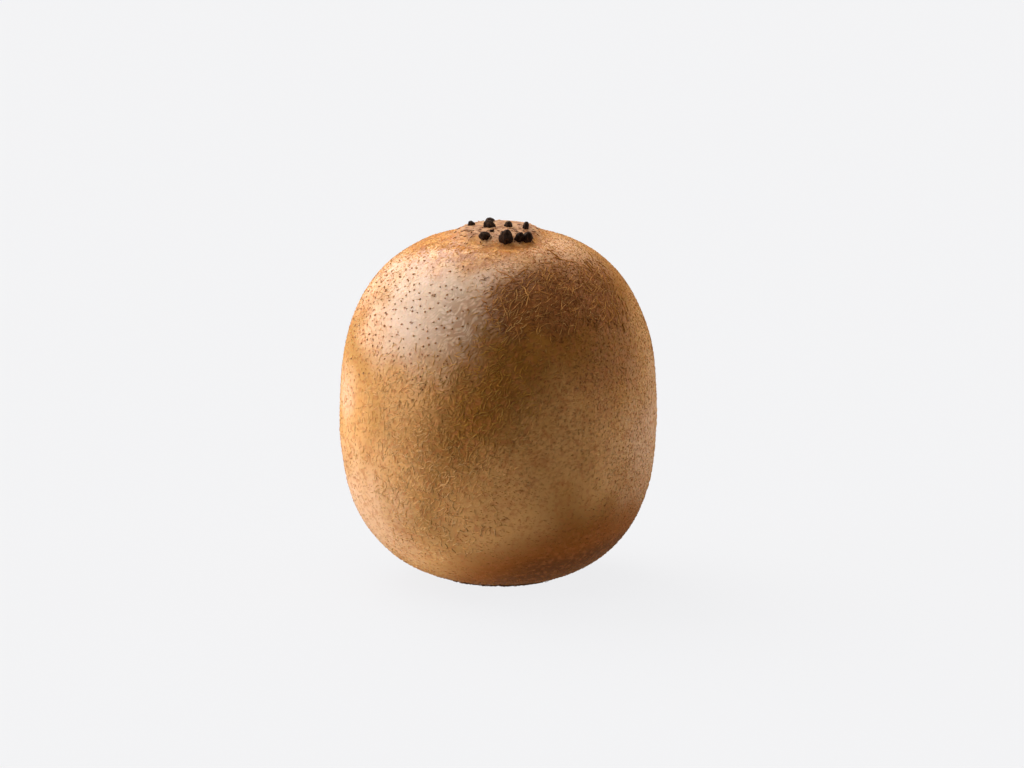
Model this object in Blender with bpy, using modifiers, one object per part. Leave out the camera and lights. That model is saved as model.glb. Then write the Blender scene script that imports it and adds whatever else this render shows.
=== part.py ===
"""A whole kiwi fruit standing on its stem end, with the dried rest of its flower and stalk.

Units are metres and +Z is up. The origin is under the middle of the fruit, on the surface that it
rests on, and -Y is its front. Run it with blender --background --python part.py, or from Blender's
text editor.
"""

import math

import bmesh
import bpy
from mathutils import Matrix, Vector

MM = 0.001

# The fruit: a barrel whose upper and lower halves are superellipses turned about the Z axis.
WAIST_RADIUS = 27.15 * MM
WAIST_HEIGHT = 29.0 * MM
CROWN_RISE = 32.25 * MM  # from the waist to the top of the dome
CROWN_SQUARENESS = 2.47
FOOT_DROP = 29.8 * MM  # from the waist to where the lower half would end without its flat spot
FOOT_SQUARENESS = 2.48
SEGMENTS = 60
FLANK_STEP = math.radians(6)  # the angle between rings on the barrel's side

# How the real fruit differs from the turned one.
DEPTH_SHARE = 0.93  # it is pressed a little flat from front to back
CROWN_BOW = Vector((0.12, -3.0, 0)) * MM  # how far the top of the fruit leans off its axis
FOOT_BOW = Vector((0.3, 2.2, 0)) * MM  # the same for its flat spot

# The nub at the blossom end, a low round table on top of the dome, and the shallow moat round it.
NUB_HEIGHT = 0.78 * MM
NUB_TOP_RADIUS = 5.7 * MM
NUB_FOOT_RADIUS = 8.5 * MM
NUB_TOP_RINGS = 3
MOAT_DEPTH = 0.15 * MM
MOAT_RADIUS = 9.8 * MM
MOAT_HALF_WIDTH = 3.0 * MM
CROWN_RADIUS = 15.0 * MM  # out to here the rings are close together, for the nub and the moat
CROWN_RINGS = 12
NUB_SLIDE = 3.0 * MM  # how far down the front of the dome the nub sits
NUB_TILT = 0.06  # how much it slopes down towards the front
SLIDE_RADIUS = 7.0 * MM  # the skin slides with the nub out to here, and then less and less

# The dried styles, in a ring on the nub: the angle from +X in degrees and the distance from the nub's
# middle, the radius at the foot, the height above the skin, and the outward lean in degrees.
STYLES = (
    (158, 5.0, 0.60, 0.6, 10),
    (182, 1.7, 0.95, 0.9, 10),
    (358, 1.7, 0.70, 0.8, 8),
    (346, 4.7, 0.50, 1.2, 5),
    (108, 4.9, 0.80, 0.5, 10),
    (251, 3.5, 0.40, 0.3, 0),
    (247, 6.2, 0.95, 0.6, 35),
    (281, 6.7, 1.10, 1.5, 35),
    (300, 6.8, 0.60, 1.1, 35),
    (311, 7.1, 0.70, 1.1, 35),
)
STYLE_SIDES = 12
STYLE_TAPER = 0.78  # the broken end's radius as a share of the foot's
STYLE_ROOT = 0.6 * MM  # how deep a style is seated in the skin

# The stem end: the button that the stalk broke off, and the sepals pressed flat round it.
SCAR_RADIUS = 1.9 * MM
SCAR_PIT_RADIUS = 0.8 * MM
SCAR_LOW = 0.15 * MM
SCAR_THICKNESS = 0.7 * MM
SCAR_STEPS = 24
SEPAL_COUNT = 5
SEPAL_FIRST_ANGLE = math.radians(-102)
SEPAL_INNER = 2.6 * MM
SEPAL_TIP = 8.4 * MM
SEPAL_WIDTH = 2.3 * MM
SEPAL_LOW = 0.1 * MM
SEPAL_THICKNESS = 0.4 * MM
SEPAL_TAPER = 0.3  # how much narrower than the middle the tip is, as a share
SEPAL_SIDES = 24

GAP = 0.3 * MM  # clearance between pieces that touch on the real fruit
CUT_PAST = 2.0 * MM  # how far a cutter reaches out of the skin


def clear_scene():
    """Remove the objects that the file opens with."""
    for obj in list(bpy.data.objects):
        bpy.data.objects.remove(obj, do_unlink=True)


def add_collection(name):
    """A new collection in the scene."""
    collection = bpy.data.collections.new(name)
    bpy.context.scene.collection.children.link(collection)
    return collection


def add_material(name, colour, roughness):
    """A Principled material with one colour, for a natural surface that isn't metal."""
    material = bpy.data.materials.new(name)
    material.use_nodes = True
    material.diffuse_color = (*colour, 1)
    shader = material.node_tree.nodes["Principled BSDF"]
    shader.inputs["Base Color"].default_value = (*colour, 1)
    shader.inputs["Roughness"].default_value = roughness
    shader.inputs["Metallic"].default_value = 0
    return material


def add_piece(name, mesh, collection, material):
    """An object for one sub-part, shaded smooth between its sharp edges."""
    mesh.materials.append(material)
    mesh.shade_smooth()
    mesh.set_sharp_from_angle(angle=math.radians(40))
    piece = bpy.data.objects.new(name, mesh)
    collection.objects.link(piece)
    return piece


def add_cutter(name, mesh, collection):
    """A helper that a Boolean takes away from the fruit, left out of renders."""
    cutter = bpy.data.objects.new(name, mesh)
    cutter.hide_render = True
    cutter.display_type = "WIRE"
    collection.objects.link(cutter)
    return cutter


def cut(target, cutter):
    """Take the cutter's shape out of the target."""
    boolean = target.modifiers.new(cutter.name, "BOOLEAN")
    boolean.operation = "DIFFERENCE"
    boolean.solver = "EXACT"
    boolean.object = cutter


def mesh_from(build, name):
    """A new mesh filled by build, a function that takes a bmesh."""
    mesh = bpy.data.meshes.new(name)
    form = bmesh.new()
    build(form)
    form.to_mesh(mesh)
    form.free()
    return mesh


def turned_mesh(name, profile, steps):
    """The mesh of a profile of (radius, height) pairs, top to bottom, turned about the Z axis."""
    mesh = bpy.data.meshes.new(name)
    points = [(radius, 0, height) for radius, height in profile]
    mesh.from_pydata(points, [(i, i + 1) for i in range(len(points) - 1)], [])
    lathe = bpy.data.objects.new(name, mesh)
    bpy.context.scene.collection.objects.link(lathe)
    screw = lathe.modifiers.new("Screw", "SCREW")
    screw.steps = steps
    screw.render_steps = steps
    screw.use_merge_vertices = True
    screw.merge_threshold = 0.01 * MM
    evaluated = lathe.evaluated_get(bpy.context.evaluated_depsgraph_get())
    turned = bpy.data.meshes.new_from_object(evaluated)
    bpy.data.objects.remove(lathe)
    bpy.data.meshes.remove(mesh)
    return turned


def superellipse(turn, rise, squareness):
    """(radius, distance from the waist) on a half of the barrel, at an angle of turn from the waist."""
    power = 2 / squareness
    return WAIST_RADIUS * math.cos(turn) ** power, rise * math.sin(turn) ** power


def dome_height(radius):
    """The height of the fruit's upper half at a distance from its axis, without the nub."""
    share = 1 - (radius / WAIST_RADIUS) ** CROWN_SQUARENESS
    return WAIST_HEIGHT + CROWN_RISE * share ** (1 / CROWN_SQUARENESS)


def nub_height(radius):
    """How far the nub stands above the dome at a distance from its middle."""
    share = (NUB_FOOT_RADIUS - radius) / (NUB_FOOT_RADIUS - NUB_TOP_RADIUS)
    share = min(max(share, 0), 1)
    return NUB_HEIGHT * share * share * (3 - 2 * share)


def moat_depth(radius):
    """How far the moat round the nub lies under the dome."""
    share = min(abs(radius - MOAT_RADIUS) / MOAT_HALF_WIDTH, 1)
    return MOAT_DEPTH * (1 + math.cos(math.pi * share)) / 2


def crown_height(radius):
    """The height of the crown, with its nub and moat, at a distance from its middle."""
    return dome_height(radius) + nub_height(radius) - moat_depth(radius)


def flat_spot_radius():
    """Where the lower half of the barrel meets the surface that it rests on."""
    share = 1 - (WAIST_HEIGHT / FOOT_DROP) ** FOOT_SQUARENESS
    return WAIST_RADIUS * share ** (1 / FOOT_SQUARENESS)


def crown_profile():
    """The profile's points from the middle of the nub to the outside of the moat."""
    radii = [NUB_TOP_RADIUS * i / NUB_TOP_RINGS for i in range(NUB_TOP_RINGS)]
    around = CROWN_RADIUS - NUB_TOP_RADIUS
    radii += [NUB_TOP_RADIUS + around * i / CROWN_RINGS for i in range(CROWN_RINGS + 1)]
    return [(radius, crown_height(radius)) for radius in radii]


def flank_profile():
    """The profile's points down the side, from the crown to the edge of the flat spot."""
    turns = [FLANK_STEP * i for i in range(math.ceil(math.pi / 2 / FLANK_STEP))]
    crown = [superellipse(turn, CROWN_RISE, CROWN_SQUARENESS) for turn in reversed(turns)]
    foot = [superellipse(turn, FOOT_DROP, FOOT_SQUARENESS) for turn in turns[1:]]
    points = [(radius, WAIST_HEIGHT + rise) for radius, rise in crown if radius > CROWN_RADIUS]
    points += [(radius, WAIST_HEIGHT - drop) for radius, drop in foot if drop < WAIST_HEIGHT]
    return points


def fruit_profile():
    """The turned fruit's whole profile, from the top of the nub to the middle of the flat spot."""
    edge = flat_spot_radius()
    return crown_profile() + flank_profile() + [(edge, 0), (edge / 2, 0), (0, 0)]


def slid(point):
    """Where a point of the turned crown lies when the nub has slid down the front of the dome."""
    radius = math.hypot(point.x, point.y)
    if point.z < WAIST_HEIGHT or radius > CROWN_RADIUS:
        return point
    share = min((CROWN_RADIUS - radius) / (CROWN_RADIUS - SLIDE_RADIUS), 1)
    share *= share * (3 - 2 * share)
    place = Vector((point.x, point.y - NUB_SLIDE * share, point.z))
    place.z += dome_height(math.hypot(place.x, place.y)) - dome_height(radius)
    place.z += NUB_TILT * point.y * share
    return place


def shaped(turned):
    """Where a point of the turned fruit lies on the real one, which is oval and bowed."""
    point = slid(turned)
    rise = point.z - WAIST_HEIGHT
    if rise > 0:
        bow = CROWN_BOW * (rise / CROWN_RISE) ** 2
    else:
        bow = FOOT_BOW * (rise / WAIST_HEIGHT) ** 2
    return Vector((point.x, point.y * DEPTH_SHARE, point.z)) + bow


def add_fruit(collection, material):
    """The skin, flesh and nub as one solid."""
    mesh = turned_mesh("kiwi_fruit", fruit_profile(), SEGMENTS)
    for vertex in mesh.vertices:
        vertex.co = shaped(vertex.co)
    return add_piece("kiwi_fruit", mesh, collection, material)


def style_place(angle, distance, lean):
    """The frame of a dried style: its foot on the nub, with +Z along the style."""
    radius = distance * MM
    turn = math.radians(angle)
    foot = shaped(Vector((radius * math.cos(turn), radius * math.sin(turn), crown_height(radius))))
    outward = Matrix.Rotation(turn, 4, "Z") @ Matrix.Rotation(math.radians(lean), 4, "Y")
    return Matrix.Translation(foot) @ outward


def rod(name, foot_radius, end_radius, low, high):
    """The mesh of a round rod along +Z, from low to high."""
    middle = Matrix.Translation((0, 0, (low + high) / 2))
    return mesh_from(
        lambda form: bmesh.ops.create_cone(
            form, cap_ends=True, segments=STYLE_SIDES, radius1=foot_radius, radius2=end_radius,
            depth=high - low, matrix=middle,
        ),
        name,
    )


def add_styles(fruit, collection, cutters, material):
    """The ring of dried styles, each in a socket of its own in the nub."""
    for number, (angle, distance, radius_mm, height_mm, lean) in enumerate(STYLES, 1):
        name = f"dried_style_{number:02d}"
        place = style_place(angle, distance, lean)
        radius = radius_mm * MM
        height = height_mm * MM
        mesh = rod(name, radius, radius * STYLE_TAPER, -STYLE_ROOT, height)
        add_piece(name, mesh, collection, material).matrix_world = place
        wide = radius + GAP
        socket = rod(f"{name}_socket", wide, wide, -STYLE_ROOT - GAP, height + CUT_PAST)
        cutter = add_cutter(f"{name}_socket", socket, cutters)
        cutter.matrix_world = place
        cut(fruit, cutter)


def scar_profile():
    """The stem button's profile, top to bottom: rounded at its rims, and with a shallow pit below."""
    high = SCAR_LOW + SCAR_THICKNESS
    edge = SCAR_THICKNESS / 4
    return [
        (0, high),
        (SCAR_RADIUS - 2 * edge, high),
        (SCAR_RADIUS, high - edge),
        (SCAR_RADIUS, SCAR_LOW + edge),
        (SCAR_RADIUS - edge, SCAR_LOW),
        (SCAR_PIT_RADIUS, SCAR_LOW),
        (SCAR_PIT_RADIUS / 2, SCAR_LOW + edge),
        (0, SCAR_LOW + edge),
    ]


def add_stem_scar(fruit, collection, cutters, material):
    """The woody button in its recess, at the middle of the flat spot."""
    mesh = turned_mesh("stem_scar", scar_profile(), SCAR_STEPS)
    add_piece("stem_scar", mesh, collection, material).location = FOOT_BOW
    wide = SCAR_RADIUS + GAP
    recess = rod("stem_recess", wide, wide, -CUT_PAST, SCAR_LOW + SCAR_THICKNESS + GAP)
    cutter = add_cutter("stem_recess", recess, cutters)
    cutter.location = FOOT_BOW
    cut(fruit, cutter)


def tongue(name, inner, tip, width, low, high):
    """The mesh of a flat tongue along +X, narrower at its tip, with upright sides."""
    mesh = mesh_from(
        lambda form: bmesh.ops.create_cone(
            form, cap_ends=True, segments=SEPAL_SIDES, radius1=1, radius2=1, depth=1
        ),
        name,
    )
    for vertex in mesh.vertices:
        along, across, up = vertex.co
        vertex.co.x = (inner + tip) / 2 + along * (tip - inner) / 2
        vertex.co.y = across * width / 2 * (1 - SEPAL_TAPER * along)
        vertex.co.z = low if up < 0 else high
    return mesh


def add_sepals(fruit, collection, cutters, material):
    """The dried sepals, each lying in a groove that it has pressed into the stem end."""
    high = SEPAL_LOW + SEPAL_THICKNESS
    for number in range(SEPAL_COUNT):
        name = f"dried_sepal_{number + 1}"
        turn = SEPAL_FIRST_ANGLE + number * 2 * math.pi / SEPAL_COUNT
        place = Matrix.Translation(FOOT_BOW) @ Matrix.Rotation(turn, 4, "Z")
        mesh = tongue(name, SEPAL_INNER, SEPAL_TIP, SEPAL_WIDTH, SEPAL_LOW, high)
        add_piece(name, mesh, collection, material).matrix_world = place
        inner = SEPAL_INNER - GAP
        outer = SEPAL_TIP + CUT_PAST
        wide = SEPAL_WIDTH + 3 * GAP
        groove = tongue(f"{name}_groove", inner, outer, wide, -CUT_PAST, high + GAP)
        cutter = add_cutter(f"{name}_groove", groove, cutters)
        cutter.matrix_world = place
        cut(fruit, cutter)


def main():
    clear_scene()
    pieces = add_collection("kiwi_fruit")
    cutters = add_collection("cutters")
    skin = add_material("fuzzy_skin", (0.33, 0.19, 0.07), 0.75)
    dried_style = add_material("dried_style", (0.025, 0.014, 0.008), 0.8)
    dried_stem = add_material("dried_stem", (0.12, 0.06, 0.03), 0.85)
    fruit = add_fruit(pieces, skin)
    add_styles(fruit, pieces, cutters, dried_style)
    add_stem_scar(fruit, pieces, cutters, dried_stem)
    add_sepals(fruit, pieces, cutters, dried_stem)


main()
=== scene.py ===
"""The looks of a whole kiwi fruit: its skin, its fuzz and the dried rest of its flower and stalk.

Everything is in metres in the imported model's frame: +Z is up, and -Y is the fruit's front.
"""

import math
from dataclasses import dataclass

import bpy
import numpy as np
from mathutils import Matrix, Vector


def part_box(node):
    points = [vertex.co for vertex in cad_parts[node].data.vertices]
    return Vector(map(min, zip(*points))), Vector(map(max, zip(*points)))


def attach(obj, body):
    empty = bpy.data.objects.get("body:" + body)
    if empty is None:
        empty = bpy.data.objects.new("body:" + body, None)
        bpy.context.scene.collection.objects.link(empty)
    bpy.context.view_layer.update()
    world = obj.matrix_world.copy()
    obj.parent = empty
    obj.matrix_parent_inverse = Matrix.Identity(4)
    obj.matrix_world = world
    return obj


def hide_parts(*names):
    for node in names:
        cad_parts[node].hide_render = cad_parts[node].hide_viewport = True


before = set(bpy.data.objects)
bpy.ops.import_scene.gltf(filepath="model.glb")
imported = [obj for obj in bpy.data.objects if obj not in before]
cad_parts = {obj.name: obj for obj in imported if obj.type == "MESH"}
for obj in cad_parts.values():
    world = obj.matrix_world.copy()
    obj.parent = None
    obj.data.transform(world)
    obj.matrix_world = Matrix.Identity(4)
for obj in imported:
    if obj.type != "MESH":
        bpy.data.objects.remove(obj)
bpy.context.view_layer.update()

MM = 0.001
SMALL = 1e-30  # keeps a vector of no length from being divided by nothing
FRUIT_LOW, FRUIT_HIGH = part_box("kiwi_fruit")

# The fruit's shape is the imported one, turned from two superellipses, made again with finer faces.
WAIST_RADIUS = (FRUIT_HIGH.x - FRUIT_LOW.x) / 2
DEPTH_SHARE = (FRUIT_HIGH.y - FRUIT_LOW.y) / (FRUIT_HIGH.x - FRUIT_LOW.x)
WAIST_HEIGHT = 29.0 * MM
CROWN_RISE = 32.25 * MM
CROWN_SQUARENESS = 2.47
FOOT_DROP = 29.8 * MM
FOOT_SQUARENESS = 2.48
CROWN_BOW = np.array((0.12, -3.0, 0)) * MM
FOOT_BOW = np.array((0.3, 2.2, 0)) * MM
NUB_HEIGHT = 0.78 * MM
NUB_TOP_RADIUS = 5.7 * MM
NUB_FOOT_RADIUS = 8.5 * MM
MOAT_DEPTH = 0.15 * MM
MOAT_RADIUS = 9.8 * MM
MOAT_HALF_WIDTH = 3.0 * MM
# The nub has slid down the front of the dome, and tilts with it.
NUB_SLIDE = 3.0 * MM
NUB_TILT = 0.06
SLIDE_RADIUS = 7.0 * MM
CROWN_RADIUS = 15.0 * MM

# The skin's mesh.
PROFILE_ROWS = 4000
SKIN_ROWS = 216
SKIN_SEGMENTS = 420
LUMP_HEIGHT = 0.06 * MM

# The stem end, where grooves hold the sepals and a recess holds the stem's button.
GROOVE_HEIGHT = 0.8 * MM
GROOVE_HALF_WIDTH = 1.6 * MM
GROOVE_INNER = 2.3 * MM
GROOVE_TIP = 10.4 * MM
GROOVE_WALL = 0.25 * MM
RECESS_RADIUS = 2.2 * MM
RECESS_HEIGHT = 1.15 * MM
RECESS_WALL = 0.2 * MM
REST_HEIGHT = 0.02 * MM  # the skin below this rests on something
SEPAL_COUNT = 5
SEPAL_FIRST_ANGLE = math.radians(-102)

# Noises that make surfaces and edges uneven: how far apart their bumps are, and a seed of their own.
NOISE_WAVES = 16
NOISE_SPREAD = (0.7, 1.4)
SKIN_LUMPS = (11 * MM, 3)
NUB_EDGE = (3 * MM, 5)
COLLAR_EDGE = (5 * MM, 7)
PATCH_EDGE = (6 * MM, 11)
FOOT_EDGE = (7 * MM, 13)
FLOW_BENDS = (26 * MM, 21)

# Where each kind of skin lies: the middles of its patches and how far each reaches, in millimetres.
BARE_PATCHES = (((-10.2, -18.0, 51.5), 9.5), ((16, 14, 47), 9.0), ((-16, 15, 17), 5.0))
PORE_PATCHES = (((-14, -16.5, 48.5), 11.5), ((16, 14, 47), 11.0), ((-16, 15, 17), 8.5))
CURLY_PATCHES = (
    ((-12, -21, 30), 11.5),
    ((-3, -23, 36), 9.0),
    ((-3, -22, 47), 6.0),
    ((-11, -20, 18), 9.0),
    ((-18, 18, 36), 10.0),
    ((4, 23, 34), 14.0),
    ((20, 10, 22), 11.0),
)
LONG_PATCHES = (
    ((10, -18, 52), 6.0),
    ((15.5, -14.5, 51.5), 6.0),
    ((3, -20.5, 50.5), 4.8),
    ((-12, 16, 52), 9.0),
)
# Where the skin is darker and more olive, partly its own colour and partly painted shade, and where it
# is paler, partly its own colour and partly painted light.
OLIVE_AND_SHADE_PATCHES = (
    ((2, -24.5, 39), 10.5),
    ((-3, -24.5, 33), 8.0),
    ((0, -23.5, 44), 7.0),
    ((14, -18, 47), 10.5),
    ((18, -13, 48), 8.5),
    ((16, -10, 54), 6.0),
    ((14, -16, 8), 10.0),
    ((17, -17, 13.5), 7.0),
    ((6, 22, 20), 10.0),
)
PALE_AND_LIT_PATCHES = (
    ((1, -24, 15), 9.0),
    ((3, -25, 21), 8.0),
    ((17, -18, 25), 8.5),
    ((11, -23, 28), 9.0),
    ((-15, -20.5, 36), 7.0),
    ((-25, -10, 29), 8.0),
    ((-4, 20, 50), 11.0),
    ((-11, -12, 4), 8.0),
    ((26, -5, 44), 6.5),
    ((-17, -17.5, 24), 7.0),
)
# Where it is pinker, partly painted sheen on the rims and the crown; where it is redder, partly painted
# shade low on the right front; and where it is a duller brown, partly painted shade on the back.
PINK_AND_SHEEN_PATCHES = (
    ((0, -17, 57), 7.5),
    ((9, -13.5, 58), 9.0),
    ((26, -4, 26), 11.0),
    ((-19, -5, 53), 6.5),
    ((-21, -13.5, 46), 4.5),
    ((-26.5, -8, 34), 4.0),
    ((-22, -8, 14), 10.0),
    ((10, 19, 50), 9.0),
)
RUDDY_AND_SHADE_PATCHES = (
    ((19, -14, 14), 9.0),
    ((14, -18.5, 15), 8.0),
    ((17, -16, 43), 9.0),
    ((-20, 14, 44), 10.0),
)
TAN_PATCHES = (((-6, -22, 12), 11.0), ((4, -24, 13), 8.0), ((-24, -10, 43), 8.0))
# Where the skin is smoothest, with few specks and little down.
SMOOTH_PATCHES = (
    ((-26, -8, 32), 18.0),
    ((-23, -9, 14), 10.0),
    ((-8, -20, 9), 13.0),
    ((10, -19, 11), 12.0),
    ((27, 2, 30), 10.0),
)
# The patches that the skin's colours follow, and how soft the edges of each kind are.
SKIN_PATCHES = {
    "bare": (BARE_PATCHES, 0.8),
    "curly": (CURLY_PATCHES, 0.6),
    "long": (LONG_PATCHES, 0.6),
    "dark": (OLIVE_AND_SHADE_PATCHES, 0.8),
    "pale": (PALE_AND_LIT_PATCHES, 0.8),
    "pink_and_sheen": (PINK_AND_SHEEN_PATCHES, 0.7),
    "ruddy": (RUDDY_AND_SHADE_PATCHES, 0.8),
    "smooth": (SMOOTH_PATCHES, 0.7),
}
PATCH_RAGGEDNESS = 0.14

# Where the rest of the skin's regions begin and end. A pair is where one starts and where it is full.
NUB_REACH = (8.4 * MM, 5.4 * MM)
NUB_RAGGEDNESS = 0.8 * MM
COLLAR_INNER = (6.3 * MM, 7.3 * MM)
COLLAR_OUTER = 11.2 * MM
COLLAR_WIDENING = 4.2 * MM
COLLAR_SIDE = (-0.95, -0.3)
COLLAR_FADE = (-2.2 * MM, 2.4 * MM)
COLLAR_RAGGEDNESS = 0.8 * MM
# The duller brown over the back is partly painted shade that dims the brightly lit back.
TAN_BACK = (-6 * MM, 7 * MM)
TAN_ON_PATCHES = 0.42
TAN_ON_BARE = 0.45
# The foot's darker band is partly dark hair and partly painted shade, and climbs highest at the right
# front.
FOOT_TOP = -1.0 * MM
FOOT_CLIMB = 9.5 * MM
FOOT_SIDE = (0.9, -0.4)
FOOT_FADE = (-14 * MM, 2 * MM)
FOOT_RAGGEDNESS = 0.6 * MM


# ---- shape

def unit(vectors):
    """Vectors scaled to a length of one."""
    return vectors / np.maximum(np.linalg.norm(vectors, axis=-1, keepdims=True), SMALL)


def soft_noise(points, wavelength, seed):
    """Smooth noise from about -1 to 1, with features about a wavelength across."""
    random = np.random.default_rng(seed)
    waves = unit(random.normal(size=(NOISE_WAVES, 3)))
    waves *= random.uniform(*NOISE_SPREAD, (NOISE_WAVES, 1)) * 2 * math.pi / wavelength
    phases = random.uniform(0, 2 * math.pi, NOISE_WAVES)
    return np.sin(points @ waves.T + phases).sum(axis=-1) / math.sqrt(NOISE_WAVES)


def smooth_step(values, low, high):
    """0 below low, 1 above high, and a smooth rise between them."""
    share = np.clip((values - low) / (high - low), 0, 1)
    return share * share * (3 - 2 * share)


def crown_relief(radius):
    """How far the nub stands above the dome, and the moat round it lies below."""
    nub = NUB_HEIGHT * smooth_step(-radius, -NUB_FOOT_RADIUS, -NUB_TOP_RADIUS)
    share = np.minimum(np.abs(radius - MOAT_RADIUS) / MOAT_HALF_WIDTH, 1)
    return nub - MOAT_DEPTH * (1 + np.cos(math.pi * share)) / 2


def superellipse(turns, rise, squareness):
    """Radii and distances from the waist on one half of the fruit, at angles of turn."""
    power = 2 / squareness
    return WAIST_RADIUS * np.cos(turns) ** power, rise * np.sin(turns) ** power


def fruit_profile():
    """The turned fruit's profile, from the nub's middle to the foot's: radii, heights and lengths."""
    turns = np.linspace(0, math.pi / 2, PROFILE_ROWS)
    crown_radius, rise = superellipse(turns[::-1], CROWN_RISE, CROWN_SQUARENESS)
    foot_radius, drop = superellipse(turns, FOOT_DROP, FOOT_SQUARENESS)
    radius = np.concatenate([crown_radius, foot_radius[1:]])
    crown = WAIST_HEIGHT + rise + crown_relief(crown_radius)
    foot = np.maximum(WAIST_HEIGHT - drop[1:], 0)
    height = np.concatenate([crown, foot])
    length = np.concatenate([[0], np.cumsum(np.hypot(np.diff(radius), np.diff(height)))])
    return radius, height, length


PROFILE_RADIUS, PROFILE_HEIGHT, PROFILE_REACH = fruit_profile()
PROFILE_LENGTH = PROFILE_REACH[-1]


def dome_height(radius):
    """The height of the upper half at a distance from its axis, without the nub."""
    share = np.clip(1 - (radius / WAIST_RADIUS) ** CROWN_SQUARENESS, 0, 1)
    return CROWN_RISE * share ** (1 / CROWN_SQUARENESS)


def slid(points):
    """Where points of the turned crown lie when the nub has slid down the front of the dome."""
    x, y, z = np.moveaxis(points, -1, 0)
    radius = np.hypot(x, y)
    share = smooth_step(-radius, -CROWN_RADIUS, -SLIDE_RADIUS) * (z > WAIST_HEIGHT)
    forward = y - NUB_SLIDE * share
    drop = dome_height(np.hypot(x, forward)) - dome_height(radius)
    return np.stack([x, forward, z + drop + NUB_TILT * y * share], axis=-1)


def bowed(turned):
    """Where points of the turned fruit lie on the real one, which is oval and bowed."""
    points = slid(turned)
    rise = points[..., 2:] - WAIST_HEIGHT
    crown = CROWN_BOW * (rise / CROWN_RISE) ** 2
    foot = FOOT_BOW * (rise / WAIST_HEIGHT) ** 2
    return points * (1, DEPTH_SHARE, 1) + np.where(rise > 0, crown, foot)


def smooth_skin(reach, around):
    """Points on the fruit at a reach along its profile from the nub, and an angle around it."""
    radius = np.interp(reach, PROFILE_REACH, PROFILE_RADIUS)
    height = np.interp(reach, PROFILE_REACH, PROFILE_HEIGHT)
    return bowed(np.stack([radius * np.cos(around), radius * np.sin(around), height], axis=-1))


NUB_MIDDLE = smooth_skin(np.zeros(1), np.zeros(1))[0]


def skin_frame(reach, around):
    """Points on the skin with their normals and the unit directions round the fruit and up it."""
    step = 0.05 * MM
    turn = 0.002
    points = smooth_skin(reach, around)
    east = unit(smooth_skin(reach, around + turn) - smooth_skin(reach, around - turn))
    north = unit(smooth_skin(reach - step, around) - smooth_skin(reach + step, around))
    normal = unit(np.cross(east, north))
    points = points + normal * (LUMP_HEIGHT * soft_noise(points, *SKIN_LUMPS))[..., None]
    points[..., 2] = np.maximum(points[..., 2], 0)
    return points, normal, east, north


def patches(points, places, edge=0.4, spread=1.0):
    """How much of a kind of skin there is: 1 in the middle of its patches, 0 away from them."""
    share = np.zeros(points.shape[:-1])
    for middle, reach in places:
        distance = np.linalg.norm(points / MM - middle, axis=-1) / (reach * spread)
        distance = distance + PATCH_RAGGEDNESS * soft_noise(points, *PATCH_EDGE)
        share = np.maximum(share, smooth_step(-distance, -1 - edge, -1 + edge))
    return share


def from_nub(points):
    """Points in plan from the nub's middle, as if the fruit were round, and how far off they are."""
    flat = (points - NUB_MIDDLE) * (1, 1 / DEPTH_SHARE, 0)
    return flat, np.linalg.norm(flat, axis=-1)


def side_share(flat, distance, side):
    """How far points in plan lie to a side: 1 or so there, and -1 or so on the other side."""
    return (side[0] * flat[..., 0] + side[1] * flat[..., 1]) / np.maximum(distance, 0.1 * MM)


def nub_share(points):
    """1 on top of the nub, 0 outside it."""
    _, distance = from_nub(points)
    start, full = NUB_REACH
    ragged = distance + NUB_RAGGEDNESS * soft_noise(points, *NUB_EDGE)
    return smooth_step(-ragged, -start, -full) * (points[..., 2] > WAIST_HEIGHT)


def collar_share(points):
    """1 in the ring of dense golden fuzz round the nub, widest at the left front, and 0 off it."""
    flat, distance = from_nub(points)
    outer = COLLAR_OUTER + COLLAR_WIDENING * side_share(flat, distance, COLLAR_SIDE)
    outer = outer + COLLAR_RAGGEDNESS * soft_noise(points, *COLLAR_EDGE)
    inside = smooth_step(outer - distance, *COLLAR_FADE)
    return inside * smooth_step(distance, *COLLAR_INNER) * (points[..., 2] > WAIST_HEIGHT)


def tan_share(points):
    """How much of the duller, darker brown there is: all of it on the back, partly painted shade that
    dims the brightly lit back, and some in patches on the front.
    """
    front = TAN_ON_PATCHES * patches(points, TAN_PATCHES, 0.8)
    return np.maximum(smooth_step(points[..., 1], *TAN_BACK), front)


def foot_share(points):
    """0 on the sides and 1 at the stem end, which is darker, partly from dark hair and partly from
    painted shade: higher at the right front.
    """
    away = np.hypot(points[..., 0], points[..., 1])
    top = FOOT_TOP + FOOT_CLIMB * side_share(points, away, FOOT_SIDE)
    top = top + FOOT_RAGGEDNESS * soft_noise(points, *FOOT_EDGE)
    return smooth_step(top - points[..., 2], *FOOT_FADE)


# ---- meshes

def add_object(name, data):
    """An object of the scene with its data."""
    made = bpy.data.objects.new(name, data)
    bpy.context.scene.collection.objects.link(made)
    return made


def mesh_object(name, vertices, faces):
    """A smooth-shaded piece of the fruit, which rides on it."""
    mesh = bpy.data.meshes.new(name)
    mesh.from_pydata(vertices.tolist(), [], faces)
    mesh.shade_smooth()
    piece = add_object(name, mesh)
    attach(piece, "root")
    return piece


def store(mesh, name, values):
    """Keep one number for each vertex, for the material to read."""
    attribute = mesh.attributes.new(name, "FLOAT", "POINT")
    attribute.data.foreach_set("value", np.ascontiguousarray(values, dtype=np.float32))


def store_uvs(mesh, uvs):
    """Give the mesh the map that its material is baked through."""
    layer = mesh.uv_layers.new(name="OFBake")
    layer.uv.foreach_set("vector", np.ascontiguousarray(uvs, dtype=np.float32).ravel())


def turns_round(segments):
    """Angles evenly round a ring, as a row."""
    return np.arange(segments)[None, :] * 2 * math.pi / segments


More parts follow.
